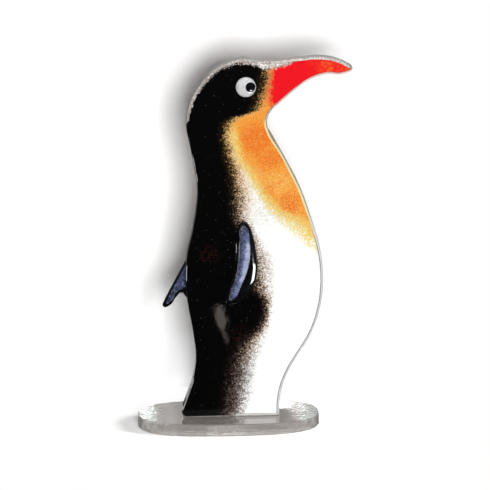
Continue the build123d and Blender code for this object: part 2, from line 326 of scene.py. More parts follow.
# Where the first orange grains lie, and how far right of that the orange is full
ORANGE_ROWS = [
    (0, 69.0), (80, 62.0), (86, 46.0), (91, 38.0), (96, 32.0), (101, 26.5), (106, 21.5), (111, 17.0),
    (116, 14.2), (121, 11.2), (126, 8.6), (131, 5.8), (136, 2.8), (141, 1.0), (150, -1.0), (157, -3.0),
    (163, 5.0), (169, 9.0), (200, 9.0),
]
ORANGE_REACH_ROWS = [
    (0, 32.0), (92, 30.0), (97, 27.0), (101, 26.0), (104, 24.0), (108, 17.5), (111, 13.0), (116, 9.0),
    (124, 7.5), (131, 7.0), (150, 6.6), (157, 6.0), (200, 5.0),
]
RED_ROWS = [
    (0, 69.0), (150, 60.0), (155, 32.0), (157, 28.0), (159, 25.4), (161, 22.6), (163, 20.2), (166, 18.2),
    (170, 18.2), (174, 18.9), (178, 19.6), (183, 20.4), (200, 21.4),
]
# The right edge of the glass, from the foot to the throat
RIGHT_EDGE_ROWS = [
    (0, 24.7), (7, 24.75), (12, 24.76), (20, 25.86), (30, 29.58), (40, 35.54), (50, 41.1), (60, 44.3),
    (70, 45.8), (80, 45.82), (90, 44.52), (100, 41.92), (110, 38.71), (120, 35.1), (130, 30.33),
    (140, 24.97), (150, 19.29), (155, 18.44), (160, 20.68), (200, 69.0),
]
# The upper edge of the powder, as heights at places from left to right
TOP_START = -50.0
TOP_LENGTH = 110.0
POWDER_TOP_ROWS = [
    (-50, 150), (-22, 150), (-20.2, 155), (-18.5, 160), (-16.9, 165), (-14.2, 170), (-10.4, 175),
    (-4.9, 180), (1.0, 182.6), (5, 183.6), (8, 183.6), (12, 182.4), (16, 181.2), (20, 180.8),
    (25, 181.8), (30, 183.4), (36, 188), (60, 199),
]
# The line along which the front inlay's painted highlight is palest
PAINTED_HIGHLIGHT_ROWS = [
    (0, 0.0), (60, 0.0), (66, 1.9), (70.6, 3.9), (74.4, 5.7), (80, 7.6), (85.7, 8.7), (92, 9.2),
    (98, 9.0), (104, 8.0), (200, 8.0),
]

# What a patch is given by, and the patches of deeper and paler orange
PATCH_INPUTS = ("Across", "Height", "Half Width", "Half Height", "Strength")
DEEP_PATCHES = [(13.5, 146.0, 8.5, 9.0, 0.9), (20.0, 136.5, 6.5, 5.5, 0.8), (29.5, 114.0, 5.5, 6.0, 0.8)]
PALE_PATCHES = [(24.0, 124.5, 7.0, 5.0, 0.5), (13.0, 127.0, 4.5, 5.5, 0.45), (34.0, 101.5, 6.0, 5.0, 0.5)]
# Rusty specks that show through the black
RUST_PATCHES = [(-9.5, 88.5, 5.5, 5.0, 0.7), (6.0, 45.0, 6.0, 8.0, 0.5)]
PATCH_FADE = 1.6

# Heights and places where one part of the drawing goes over into the next
FOOT = (48.0, 28.0)
ON_NECK = (104.0, 134.0)
ON_CHEST = (134.0, 120.0)
LOW_NECK_STARTS = (98.0, 108.0)
LOW_NECK_ENDS = (150.0, 136.0)
ON_HEAD = (156.0, 162.0)
BELOW_HEAD = (164.0, 150.0)
BEAK_TIP = (36.0, 56.0)
BEAK_UP = (158.0, 161.0)
BEAK_ACROSS = (20.0, 25.0)
UNDERSIDE = (0.1, -0.3)
RED_SPREAD = (-4.4, 4.4)
# The line along the belly, by how far in from the edge of the glass it lies
LINE_STARTS = (0.85, 1.0)
LINE_ENDS = (1.55, 1.35)
OUTSIDE_LINE = (0.55, 0.35)
NEAR_EDGE = (6.0, 4.0)
BELOW_BEAK = (157.0, 154.0)
CHEST_EDGE = (98.0, 110.0)
LINE_SHOWS = 0.85
# The rim's lower part, its black part behind, and the painted white line of light at its foot
RIM_BELOW_HEAD = (156.0, 154.0)
RIM_BEHIND = (-4.0, -8.0)
RIM_FOOT_PAINTED_LINE = (7.4, 6.8)
# The base's hewn ends, and the ends that carry its painted sparkle and painted facet glints
HEWN_END = (27.0, 36.0)
PAINTED_GLINT_END = (33.0, 37.0)
# Where the front inlay's painted highlight lies, and how it fades
PAINTED_HIGHLIGHT_TOP = (103.0, 93.0)
PAINTED_HIGHLIGHT_FOOT = (62.0, 76.0)
PAINTED_HIGHLIGHT_REACH = (3.2, 0.3)
PAINTED_HIGHLIGHT_FRONT = (-5.0, -6.0)

# Sizes of grains, drift and clouds in the powder
FINE_GRAIN = 0.42
COARSE_GRAIN = 0.75
TIP_GRAIN = 0.95
RIM_GRAIN = 0.5
DRIFT_SIZE = 2.4
DRIFT_MOST = 4.0
CLOUD_SIZE = 8.0

BLACK = colour(3, 3, 3)
RUST = colour(74, 34, 26)
WHITE = colour(240, 241, 240)
PALE_GREY = colour(206, 198, 202)
KHAKI = colour(192, 158, 102)
RED = shown(237, 24, 34)
DEEP_ORANGE = shown(236, 116, 34)
TIP_ORANGE = shown(243, 126, 52)
PALE_YELLOW = shown(249, 216, 130)
DARK_AMBER = shown(172, 104, 34)
OLIVE_HAZE = shown(198, 190, 156)
WARM_TONES = [
    (0.0, shown(247, 243, 226)), (0.22, shown(245, 230, 158)), (0.45, shown(242, 208, 104)),
    (0.7, shown(241, 180, 80)), (1.0, shown(242, 152, 54)),
]
# Grains between black and bare, on the belly and on the neck
BELLY_DARKS = [
    (0.0, BLACK), (0.3, colour(22, 16, 13)), (0.6, colour(56, 42, 34)), (0.85, colour(98, 84, 74)),
    (1.0, colour(150, 140, 132)),
]
BELLY_LIGHTS = [
    (0.0, colour(60, 44, 32)), (0.25, colour(116, 96, 80)), (0.5, colour(168, 147, 128)),
    (0.8, colour(214, 206, 200)), (1.0, WHITE),
]
NECK_DARKS = [
    (0.0, BLACK), (0.35, colour(28, 20, 10)), (0.65, colour(80, 60, 32)), (0.85, colour(140, 104, 54)),
    (1.0, colour(190, 140, 76)),
]
NECK_LIGHTS = [
    (0.0, colour(60, 46, 24)), (0.25, colour(128, 102, 60)), (0.55, colour(190, 150, 90)),
    (1.0, colour(230, 174, 92)),
]
# Tones of the shimmer glass, from dark up to the pale of its painted highlight
SHIMMER_AND_HIGHLIGHT_TONES = [
    (0.0, colour(40, 44, 62)), (0.35, colour(72, 80, 116)), (0.7, colour(112, 122, 164)),
    (1.0, colour(188, 194, 222)),
]
FLAKE_PALE = colour(190, 198, 226)
FLAKE_DARK = colour(26, 28, 42)
LONE_GREY = colour(88, 82, 78)
FOOT_GREY = colour(92, 84, 80)
RIM_GREY = colour(176, 168, 163)
RIM_WHITE = colour(240, 237, 234)
RIM_BROWN = colour(122, 98, 80)
STREWN_BROWN = colour(104, 74, 52)
SIDE_GREEN = colour(182, 188, 184)
BEAK_PAINTED_GLOW = colour(255, 206, 200)
EDGE_GREY = colour(96, 94, 98)
EDGE_OLIVE = colour(112, 104, 70)
EDGE_YELLOW = colour(240, 230, 176)
SHEET_TONES = (colour(230, 228, 225), colour(240, 239, 237))
PLATE_TONES = (colour(180, 172, 167), colour(198, 191, 187))
GROUND_TONES = (colour(216, 209, 204), colour(234, 229, 225))
PAINTED_END_SPARKLE = colour(244, 255, 249)
PAINTED_WHITE_GLINT = colour(252, 254, 255)
PAINTED_DARK_REFLECTION = colour(110, 106, 104)
BOND_BUBBLE_AND_GLINT_TONES = (colour(232, 230, 226), colour(250, 250, 250))
FLIPPER_TONES = (colour(2, 2, 3), colour(10, 10, 13))
EYE_TONES = (colour(182, 183, 185), colour(206, 206, 206))
PUPIL_TONES = (colour(3, 3, 4), colour(10, 10, 12))
SHEET_SHADE = (0.75, 0.74, 0.72, 1.0)
PLATE_SHADE = (0.5, 0.49, 0.48, 1.0)
BOND_SHADE = (0.8, 0.8, 0.8, 1.0)


def new_group(name, inputs, outputs):
    """A node group with named sockets: its recipe, and the sockets that come in and go out."""
    tree = bpy.data.node_groups.new(name, "ShaderNodeTree")
    for label, kind in inputs:
        tree.interface.new_socket(label, in_out="INPUT", socket_type=kind)
    for label, kind in outputs:
        tree.interface.new_socket(label, in_out="OUTPUT", socket_type=kind)
    recipe = Recipe(tree)
    coming = recipe.add("NodeGroupInput").outputs
    going = recipe.add("NodeGroupOutput").inputs
    return recipe, coming, going


def patch_group():
    """A soft round patch, strongest at its middle."""
    inputs = [("Place", "NodeSocketVector")] + [(name, "NodeSocketFloat") for name in PATCH_INPUTS]
    recipe, coming, going = new_group("soft_patch", inputs, [("Share", "NodeSocketFloat")])
    parts = recipe.parts(coming["Place"])
    across = recipe.ratio(recipe.minus(parts["X"], coming["Across"]), coming["Half Width"])
    up = recipe.ratio(recipe.minus(parts["Z"], coming["Height"]), coming["Half Height"])
    away = recipe.plus(recipe.times(across, across), recipe.times(up, up))
    share = recipe.minus(1.0, recipe.ramp(away, 0.0, PATCH_FADE, smooth=True))
    recipe.feed(going["Share"], recipe.times(share, coming["Strength"]))
    return recipe.tree


def edge_group():
    """The line where the powder stops along the belly and chest, and the glass outside it."""
    outputs = [(name, "NodeSocketFloat") for name in ("Line", "Outside", "Chest", "Body")]
    recipe, coming, going = new_group("glass_edge", [("Place", "NodeSocketVector")], outputs)
    parts = recipe.parts(coming["Place"])
    inside = recipe.minus(recipe.across_at(parts["Z"], RIGHT_EDGE_ROWS), parts["X"])
    line = recipe.times(recipe.ramp(inside, *LINE_STARTS), recipe.ramp(inside, *LINE_ENDS))
    body = recipe.times(recipe.ramp(parts["Z"], *BELOW_BEAK), recipe.ramp(inside, *NEAR_EDGE))
    recipe.feed(going["Line"], recipe.times(line, body))
    recipe.feed(going["Outside"], recipe.ramp(inside, *OUTSIDE_LINE))
    recipe.feed(going["Chest"], recipe.ramp(parts["Z"], *CHEST_EDGE))
    recipe.feed(going["Body"], body)
    return recipe.tree


def ripple_group():
    """The slow waves and the fine orange peel of a fired surface, as a height."""
    inputs = [("Place", "NodeSocketVector"), ("Wave", "NodeSocketFloat"), ("Peel", "NodeSocketFloat")]
    recipe, coming, going = new_group("fired_surface", inputs, [("Height", "NodeSocketFloat")])
    wave = recipe.times(recipe.noise(coming["Place"], 14.0, 1.0), coming["Wave"])
    peel = recipe.times(recipe.noise(coming["Place"], 1.3), coming["Peel"])
    recipe.feed(going["Height"], recipe.plus(wave, peel))
    return recipe.tree


class Grains:
    """The grains, drift and clouds that all colours of the powder share."""

    def __init__(self, recipe, place):
        parts = recipe.parts(place)
        self.recipe = recipe
        self.place = place
        self.across, self.height = parts["X"], parts["Z"]
        self.fine = recipe.cells(place, FINE_GRAIN)
        self.coarse = recipe.cells(place, COARSE_GRAIN)
        self.jitter = recipe.minus(self.fine[2], 0.5)
        self.chance = recipe.plus(recipe.times(self.fine[0], 0.7), recipe.times(self.coarse[0], 0.3))
        self.cloud = recipe.noise(place, CLOUD_SIZE, 3.0)
        self.drift = recipe.minus(recipe.noise(place, DRIFT_SIZE, 4.0), 0.5)
        self.moved = recipe.about(self.across, DRIFT_MOST, self.drift)
        self.patch = patch_group()

    def chosen(self, share, softness):
        """1 on the grains whose chance number is below the share, with slightly soft edges."""
        lead = self.recipe.minus(share, self.recipe.times(self.chance, 1.0 - softness))
        return self.recipe.ratio(lead, softness, clamp=True)

    def patches(self, rows):
        """All the patches of one kind together."""
        total = 0.0
        for row in rows:
            inputs = {"Place": self.place, **dict(zip(PATCH_INPUTS, row))}
            total = self.recipe.larger(total, self.recipe.group(self.patch, inputs)[0])
        return total


def warm_hue(recipe, grains):
    """White, yellow and orange glass under the black, with deeper and paler patches and specks."""
    fine, height = grains.fine, grains.height
    into_orange = recipe.minus(grains.moved, recipe.across_at(height, ORANGE_ROWS))
    warm = recipe.ratio(into_orange, recipe.across_at(height, ORANGE_REACH_ROWS), clamp=True)
    unsure = recipe.times(recipe.ramp(warm, 0.0, 0.2), recipe.ramp(warm, 1.15, 0.7), 0.6)
    warm = recipe.plus(warm, recipe.times(grains.jitter, unsure), clamp=True)
    full = recipe.ramp(warm, 0.5, 1.0)
    hue = recipe.mix(recipe.ramp(warm, 0.0, 0.12), WHITE, recipe.tones(warm, WARM_TONES))

    deep = recipe.plus(grains.patches(DEEP_PATCHES), recipe.ramp(grains.cloud, 0.52, 0.8))
    deep = recipe.plus(deep, recipe.times(grains.jitter, 0.35), clamp=True)
    hue = recipe.mix(recipe.times(deep, full), hue, DEEP_ORANGE)
    pale = recipe.times(grains.patches(PALE_PATCHES), fine[1], full)
    hue = recipe.mix(pale, hue, PALE_YELLOW)

    often = recipe.about(0.38, 0.3, recipe.ramp(height, *ON_CHEST))
    sparse = recipe.times(recipe.ramp(fine[1], 0.6, 0.95), full, often)
    hue = recipe.mix(sparse, hue, PALE_YELLOW)
    amber = recipe.times(recipe.ramp(fine[0], 0.86, 0.94), full, 0.4)
    hue = recipe.mix(amber, hue, DARK_AMBER)
    thin = recipe.times(recipe.ramp(warm, 0.02, 0.3), recipe.ramp(warm, 0.95, 0.5))
    hue = recipe.mix(recipe.times(recipe.ramp(fine[0], 0.86, 0.92), thin, 0.6), hue, KHAKI)
    low_neck = recipe.times(recipe.ramp(height, *LOW_NECK_STARTS), recipe.ramp(height, *LOW_NECK_ENDS))
    haze = recipe.times(low_neck, recipe.ramp(warm, 0.75, 0.2), recipe.ramp(fine[0], 0.3, 0.8), 0.6)
    return recipe.mix(haze, hue, OLIVE_HAZE)


def red_over(recipe, grains, hue):
    """Red of the beak over the other colours, with orange flecks towards its tip."""
    into_red = recipe.minus(grains.moved, recipe.across_at(grains.height, RED_ROWS))
    red = grains.chosen(recipe.ramp(into_red, *RED_SPREAD), 0.4)
    near_tip = recipe.times(recipe.ramp(grains.across, *BEAK_TIP), recipe.ramp(grains.cloud, 0.3, 0.62))
    mottle = recipe.ramp(recipe.cells(grains.place, TIP_GRAIN)[1], 0.15, 0.85)
    flecks = recipe.about(0.12, 0.75, recipe.ramp(mottle, 0.4, 1.0))
    glow = recipe.times(near_tip, flecks, clamp=True)
    return recipe.mix(red, hue, recipe.mix(glow, RED, TIP_ORANGE))


def into_light(recipe, grains):
    """From solid black, 0, to bare of black, 1, and how far right of the bare edge a place lies."""
    solid = recipe.across_at(grains.height, SOLID_BLACK_ROWS)
    bare = recipe.across_at(grains.height, BARE_OF_BLACK_ROWS)
    past = recipe.minus(grains.moved, solid)
    share = recipe.ratio(past, recipe.minus(bare, solid), clamp=True)
    late = recipe.along(grains.height, THINNING_ROWS, 0.0, TABLE_HIGH, 0.0, THINNING_MOST)
    return recipe.math("POWER", share, late), recipe.minus(grains.across, bare)


def black_over(recipe, grains, hue):
    """Black grains that thin out to the right, with brown and grey ones among them."""
    fine, height = grains.fine, grains.height
    lightness, beyond = into_light(recipe, grains)
    on_neck = recipe.ramp(height, *ON_NECK)
    between = recipe.times(recipe.ramp(lightness, 0.0, 0.15), recipe.ramp(lightness, 1.0, 0.8), 0.4)
    varied = recipe.plus(lightness, recipe.times(grains.jitter, between), clamp=True)
    darks = recipe.mix(on_neck, recipe.tones(varied, BELLY_DARKS), recipe.tones(varied, NECK_DARKS))
    lights = recipe.mix(on_neck, recipe.tones(varied, BELLY_LIGHTS), recipe.tones(varied, NECK_LIGHTS))
    on_head = recipe.times(recipe.ramp(height, *ON_HEAD), recipe.ramp(varied, 0.35, 0.85))
    clear = recipe.larger(recipe.ramp(varied, 0.55, 1.0), on_head)
    at_foot = recipe.times(recipe.ramp(height, *FOOT), recipe.ramp(varied, 1.0, 0.75), 0.85)
    lights = recipe.mix(clear, recipe.mix(at_foot, lights, FOOT_GREY), hue)
    darks = recipe.mix(recipe.ramp(lightness, 0.92, 1.0), darks, hue)
    tone = recipe.mix(grains.chosen(recipe.times(lightness, 1.1), 0.25), darks, lights)

    rare = recipe.about(0.9, 0.098, recipe.ramp(beyond, -1.0, 9.0))
    stray = recipe.times(recipe.math("GREATER_THAN", fine[1], rare), clear, recipe.ramp(height, *BELOW_HEAD))
    tone = recipe.mix(recipe.times(stray, 0.55), tone, recipe.mix(on_neck, PALE_GREY, KHAKI))
    lone = recipe.times(recipe.ramp(fine[1], 0.995, 0.998), recipe.ramp(lightness, 0.1, 0.0), 0.5)
    tone = recipe.mix(lone, tone, LONE_GREY)
    rust = recipe.times(grains.patches(RUST_PATCHES), recipe.ramp(fine[1], 0.78, 1.0))
    return recipe.mix(recipe.times(rust, recipe.ramp(lightness, 0.4, 0.0)), tone, RUST)


def bare_over(recipe, grains, tone):
    """Bare glass above the powder, with grains strewn on it."""
    top = recipe.along(grains.across, POWDER_TOP_ROWS, TOP_START, TOP_LENGTH, 0.0, TABLE_HIGH)
    above = recipe.minus(recipe.about(grains.height, 3.0, grains.drift), top)
    strewn = recipe.mix(recipe.ramp(grains.coarse[2], 0.6, 0.9), RIM_GREY, RIM_WHITE)
    brown = recipe.times(recipe.ramp(grains.fine[1], 0.6, 0.75), recipe.ramp(above, 1.6, -0.4))
    strewn = recipe.mix(brown, strewn, STREWN_BROWN)
    return recipe.mix(grains.chosen(recipe.ramp(above, -1.8, 1.0), 0.3), tone, strewn)


def ruled(recipe, line, tone):
    """A finish with the line that the powder's edge draws on it."""
    rule = recipe.mix(line["Chest"], EDGE_GREY, EDGE_YELLOW)
    return recipe.mix(recipe.times(line["Line"], LINE_SHOWS), tone, rule)


def powder_group(edge):
    """The fired powder: black, orange, red and white grains that fade into each other."""
    outputs = [("Colour", "NodeSocketColor")]
    recipe, coming, going = new_group("fired_powder", [("Place", "NodeSocketVector")], outputs)
    grains = Grains(recipe, coming["Place"])
    hue = red_over(recipe, grains, warm_hue(recipe, grains))
    tone = bare_over(recipe, grains, black_over(recipe, grains, hue))
    tone = ruled(recipe, recipe.group(edge, {"Place": grains.place}), tone)
    # Each grain is a little lighter or darker than the next
    shade = recipe.about(0.93, 0.1, grains.fine[2])
    shades = recipe.add("ShaderNodeCombineXYZ", None, {"X": shade, "Y": shade, "Z": shade}).outputs[0]
    recipe.feed(going["Colour"], recipe.mix(1.0, tone, shades, "MULTIPLY"))
    return recipe.tree


def new_material(name):
    material = bpy.data.materials.new(name)
    material.use_nodes = True
    recipe = Recipe(material.node_tree)
    return material, recipe, recipe.place_mm()


def bump(recipe, height, distance):
    inputs = {"Height": height, "Distance": distance * MM, "Strength": 1.0}
    return recipe.add("ShaderNodeBump", None, inputs).outputs[0]


def ripple(recipe, surface, place, wave, peel):
    return recipe.group(surface, {"Place": place, "Wave": wave, "Peel": peel})[0]


def see_through(recipe, shader, tint):
    """Lets light pass a clear piece on its way to what lies behind it."""
    passing = recipe.add("ShaderNodeBsdfTransparent", None, {"Color": tint}).outputs[0]
    shadow = recipe.add("ShaderNodeLightPath").outputs["Is Shadow Ray"]
    return recipe.blend(shadow, shader, passing)


def finished(material, recipe, inputs, tint=None):
    """A material of one glass shader, which lets light pass where a tint is given."""
    shader = recipe.add("ShaderNodeBsdfPrincipled", None, inputs).outputs[0]
    recipe.finish(see_through(recipe, shader, tint) if tint else shader)
    return material


def powder_material(powder, surface):
    """Glass powder fired until it is smooth and shiny."""
    material, recipe, place = new_material("fired_powder_glass")
    inputs = {
        "Base Color": recipe.group(powder, {"Place": place})["Colour"],
        "Roughness": recipe.about(0.01, 0.03, recipe.noise(place, 2.5)),
        "IOR": 1.45,
        "Specular IOR Level": 0.25,
        "Normal": bump(recipe, ripple(recipe, surface, place, 0.3, 0.03), 0.25),
    }
    return finished(material, recipe, inputs)


def clear_material(surface):
    """The clear sheet, fire polished, with a few small bubbles."""
    material, recipe, place = new_material("fired_clear_glass")
    seeds = recipe.ramp(recipe.cells(place, 1.4)[0], 0.94, 0.98)
    height = recipe.about(ripple(recipe, surface, place, 1.0, 0.1), 0.2, seeds)
    inputs = {
        "Base Color": recipe.mix(recipe.ramp(recipe.noise(place, 6.0), 0.3, 0.7), *SHEET_TONES),
        "Roughness": recipe.about(0.04, 0.2, seeds),
        "IOR": 1.5,
        "Transmission Weight": 1.0,
        "Normal": bump(recipe, height, 0.2),
    }
    return finished(material, recipe, inputs, SHEET_SHADE)


def rim_material(edge):
    """The sheet's edge: strewn with grains on the head, white by the belly, black behind."""
    material, recipe, place = new_material("fired_rim_glass")
    parts = recipe.parts(place)
    fine = recipe.cells(place, RIM_GRAIN)
    line = recipe.group(edge, {"Place": place})
    strewn = recipe.mix(recipe.ramp(fine[2], 0.7, 1.0), RIM_GREY, RIM_WHITE)
    strewn = recipe.mix(recipe.ramp(fine[1], 0.9, 0.96), strewn, RIM_BROWN)
    inside = recipe.mix(line["Chest"], WHITE, EDGE_YELLOW)
    outside = recipe.mix(line["Chest"], PALE_GREY, EDGE_OLIVE)
    side = recipe.mix(recipe.times(line["Outside"], 0.8), inside, outside)
    tone = recipe.mix(line["Body"], strewn, ruled(recipe, line, side))
    deep = recipe.ramp(parts["Y"], RIM_BACK, RIM_BACK + RIM_DEPTH)
    tone = recipe.mix(recipe.times(deep, 0.8), tone, SIDE_GREEN)
    # Painted light: the downward-facing rim under the beak is painted pale pink, lighter than its shade
    on_beak = recipe.times(recipe.ramp(parts["X"], *BEAK_ACROSS), recipe.ramp(parts["Z"], *BEAK_UP))
    under = recipe.times(on_beak, recipe.ramp(recipe.facing_up(), *UNDERSIDE))
    tone = recipe.mix(under, tone, BEAK_PAINTED_GLOW)
    low = recipe.ramp(parts["Z"], *RIM_BELOW_HEAD)
    tone = recipe.mix(recipe.times(recipe.ramp(parts["X"], *RIM_BEHIND), low), tone, BLACK)
    inputs = {
        # Painted highlight: the rim's foot is painted white, a line of light under the figure
        "Base Color": recipe.mix(recipe.ramp(parts["Z"], *RIM_FOOT_PAINTED_LINE), tone, WHITE),
        "Roughness": recipe.about(0.08, 0.15, fine[1]),
        "IOR": 1.5,
        "Transmission Weight": 0.25,
        "Normal": bump(recipe, fine[2], 0.04),
    }
    return finished(material, recipe, inputs)


def base_material():
    """Clear plate glass, polished above, with a ground rim, hewn ends that catch the light, and painted
    sparkle, white glints and dark patches at its ends.
    """
    material, recipe, place = new_material("clear_plate_glass")
    rim = recipe.minus(1.0, recipe.ramp(recipe.unsigned(recipe.facing_up()), 0.5, 0.95))
    aside = recipe.unsigned(recipe.parts(place)["X"])
    at_end = recipe.ramp(aside, *PAINTED_GLINT_END)
    hewn = recipe.ramp(aside, *HEWN_END, smooth=True)
    streaks = recipe.noise(place, 1.6, 3.0)

    # Painted highlight: pale sparkle on the plate's top at its ends
    sparkle = recipe.ramp(recipe.noise(place, 2.2, 3.0), 0.46, 0.56)
    painted_sparkle = recipe.times(at_end, recipe.plus(0.3, sparkle), clamp=True)
    plate = recipe.mix(recipe.ramp(streaks, 0.35, 0.65), *PLATE_TONES)
    plate = recipe.mix(painted_sparkle, plate, PAINTED_END_SPARKLE)
    # Painted reflections: white glints and dark patches on the ground rim at the ends
    painted_facet_glints = recipe.times(at_end, recipe.ramp(recipe.noise(place, 2.2, 1.0), 0.52, 0.58))
    ground = recipe.mix(recipe.ramp(streaks, 0.4, 0.62), *GROUND_TONES)
    ground = recipe.mix(painted_facet_glints, ground, PAINTED_WHITE_GLINT)
    dark = recipe.times(at_end, recipe.ramp(recipe.noise(place, 3.4, 1.0), 0.44, 0.38), 0.5)
    ground = recipe.mix(dark, ground, PAINTED_DARK_REFLECTION)

    level = recipe.times(recipe.noise(place, 5.0), recipe.plus(0.3, rim))
    dints = recipe.times(recipe.noise(place, 2.0, 1.0), hewn, 3.6)
    inputs = {
        "Base Color": recipe.mix(rim, plate, ground),
        "Roughness": recipe.plus(0.03, recipe.times(rim, recipe.about(0.1, 0.06, streaks))),
        "IOR": 1.5,
        "Transmission Weight": 0.8,
        "Coat Weight": recipe.times(recipe.minus(1.0, hewn), 0.8),
        "Coat Roughness": 0.02,
        "Normal": bump(recipe, recipe.plus(level, dints), 0.08),
    }
    return finished(material, recipe, inputs, PLATE_SHADE)


def bond_material():
    """Cured adhesive with a few small bubbles, painted pale and mostly opaque so that it shows as a white
    line of light under the foot.
    """
    material, recipe, place = new_material("adhesive_painted_pale")
    bubbles = recipe.ramp(recipe.cells(place, 0.8)[0], 0.85, 0.95)
    inputs = {
        # Painted highlight: the adhesive is painted near white, a line of light under the foot
        "Base Color": recipe.mix(bubbles, *BOND_BUBBLE_AND_GLINT_TONES),
        "Roughness": recipe.about(0.12, 0.4, bubbles),
        "IOR": 1.48,
        "Transmission Weight": 0.3,
        "Normal": bump(recipe, bubbles, 0.05),
    }
    return finished(material, recipe, inputs, BOND_SHADE)


def flipper_material(surface):
    """Black glass, fire polished."""
    material, recipe, place = new_material("black_glass")
    inputs = {
        "Base Color": recipe.mix(recipe.ramp(recipe.noise(place, 4.0), 0.4, 0.8), *FLIPPER_TONES),
        "Roughness": recipe.about(0.05, 0.06, recipe.noise(place, 2.0)),
        "IOR": 1.5,
        "Normal": bump(recipe, ripple(recipe, surface, place, 0.6, 0.03), 0.2),
    }
    return finished(material, recipe, inputs)


def inlay_material(surface):
    """Blue-grey glass with a metal shimmer in fine flakes, and a painted highlight that is palest at its
    middle and dims towards the top.
    """
    material, recipe, place = new_material("shimmer_glass")
    parts = recipe.parts(place)
    flakes = recipe.cells(place, 0.45)
    # Painted highlight: a pale band on the front inlay alone, palest along one line and fading at top and
    # foot
    from_highlight_line = recipe.unsigned(recipe.minus(parts["X"], recipe.across_at(parts["Z"], PAINTED_HIGHLIGHT_ROWS)))
    on_front_inlay = recipe.ramp(parts["Y"], *PAINTED_HIGHLIGHT_FRONT)
    close_to_highlight = recipe.times(recipe.ramp(from_highlight_line, *PAINTED_HIGHLIGHT_REACH, smooth=True), on_front_inlay)
    pale = recipe.times(recipe.ramp(parts["Z"], *PAINTED_HIGHLIGHT_TOP), recipe.ramp(parts["Z"], *PAINTED_HIGHLIGHT_FOOT))
    pale = recipe.times(pale, recipe.about(0.3, 0.7, close_to_highlight))
    cloud = recipe.minus(recipe.noise(place, 2.6, 3.0), 0.5)
    tone = recipe.tones(recipe.plus(pale, cloud, clamp=True), SHIMMER_AND_HIGHLIGHT_TONES)
    tone = recipe.mix(recipe.ramp(flakes[0], 0.7, 1.0), tone, recipe.mix(0.45, tone, FLAKE_PALE))
    tone = recipe.mix(recipe.times(recipe.ramp(flakes[1], 0.88, 0.96), 0.7), tone, FLAKE_DARK)
    inputs = {
        "Base Color": tone,
        "Metallic": 0.3,
        "Roughness": recipe.about(0.34, 0.2, flakes[1]),
        "Coat Weight": 0.6,
        "Coat Roughness": 0.08,
        "Normal": bump(recipe, recipe.plus(flakes[2], ripple(recipe, surface, place, 1.0, 0.3)), 0.04),
    }
    return finished(material, recipe, inputs)


def bead_material(name, tones, rough):
    """Glass of a bead, drawn and fire polished."""
    material, recipe, place = new_material(name)
    inputs = {
        "Base Color": recipe.mix(recipe.ramp(recipe.noise(place, 1.2, 3.0), 0.35, 0.7), *tones),
        "Roughness": recipe.about(rough, 0.05, recipe.noise(place, 0.8)),
        "IOR": 1.5,
        "Normal": bump(recipe, recipe.noise(place, 2.2, 1.0), 0.04),
    }
    return finished(material, recipe, inputs)


def merged_copy(node):
    """The shape of a CAD node with its loose triangles joined."""
    shape = bmesh.new()
    shape.from_mesh(nodes[node].data)
    bmesh.ops.remove_doubles(shape, verts=shape.verts, dist=MERGE * MM)
    return shape


def new_object(name, shape):
    """An object of a finished shape, in the scene."""
    mesh = bpy.data.meshes.new(name)
    shape.to_mesh(mesh)
    shape.free()
    thing = bpy.data.objects.new(name, mesh)
    bpy.context.scene.collection.objects.link(thing)
    return thing


def add_piece(name, shape, node, materials):
    """A finished piece that stands for a CAD node."""
    piece = new_object(name, shape)
    for material in materials:
        piece.data.materials.append(material)
    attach(piece, "root")
    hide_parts(node)
    return piece


def dress(node, material):
    """Gives a CAD node a better material."""
    nodes[node].data.materials.clear()
    nodes[node].data.materials.append(material)


def faces_straight(face):
    """Whether a face looks straight forwards or backwards."""
    return abs(face.normal.y) > STRAIGHT


def is_soft(edge):
    """Whether the faces beside an edge meet gently enough to be shaded as one."""
    first, second = edge.link_faces
    return first.normal.angle(second.normal, 0.0) < SHARP_ANGLE


def add_sheet(clear, rim):
    """The clear sheet, its edge in the finish of the rim."""
    shape = merged_copy("clear_sheet")
    shape.normal_update()
    for face in shape.faces:
        face.smooth = True
        face.material_index = 0 if faces_straight(face) else 1
    for edge in shape.edges:
        if len(edge.link_faces) == 2:
            first, second = edge.link_faces
            edge.smooth = faces_straight(first) == faces_straight(second) and is_soft(edge)
    add_piece("clear_sheet_fired", shape, "clear_sheet", [clear, rim])


def outline_tree(node, level):
    """Points along a piece's outline at one depth, to measure from."""
    shape = merged_copy(node)
    shape.normal_update()
    points = []
    for edge in shape.edges:
        flat = [face for face in edge.link_faces if faces_straight(face)]
        at_level = all(abs(corner.co.y - level * MM) < MERGE * MM for corner in edge.verts)
        if at_level and len(flat) == 1:
            first, second = (corner.co for corner in edge.verts)
            steps = max(1, round((first - second).length / (OUTLINE_STEP * MM)))
            points += [first.lerp(second, step / steps) for step in range(steps)]
    shape.free()
    tree = kdtree.KDTree(len(points))
    for index, point in enumerate(points):
        tree.insert((point.x, 0.0, point.z), index)
    tree.balance()
    return tree


def roundness(tree, point, reach):
    """How far a rounded face has fallen: 1 at the outline, 0 from a reach inside it."""
    away = tree.find((point.x, 0.0, point.z))[2]
    share = 1 - min(away / (reach * MM), 1.0)
    return 1 - math.sqrt(1 - share * share)


def remeshed(node, name):
    """A fine even mesh of a CAD node, to be shaped further."""
    blank = new_object(name, merged_copy(node))
    fine = blank.modifiers.new("fine", "REMESH")
    fine.mode = "VOXEL"
    fine.voxel_size = LEAF_VOXEL * MM
    ready = blank.evaluated_get(bpy.context.evaluated_depsgraph_get())
    shape = bmesh.new()
    shape.from_mesh(ready.to_mesh())
    ready.to_mesh_clear()
    mesh = blank.data
    bpy.data.objects.remove(blank)
    bpy.data.meshes.remove(mesh)
    return shape


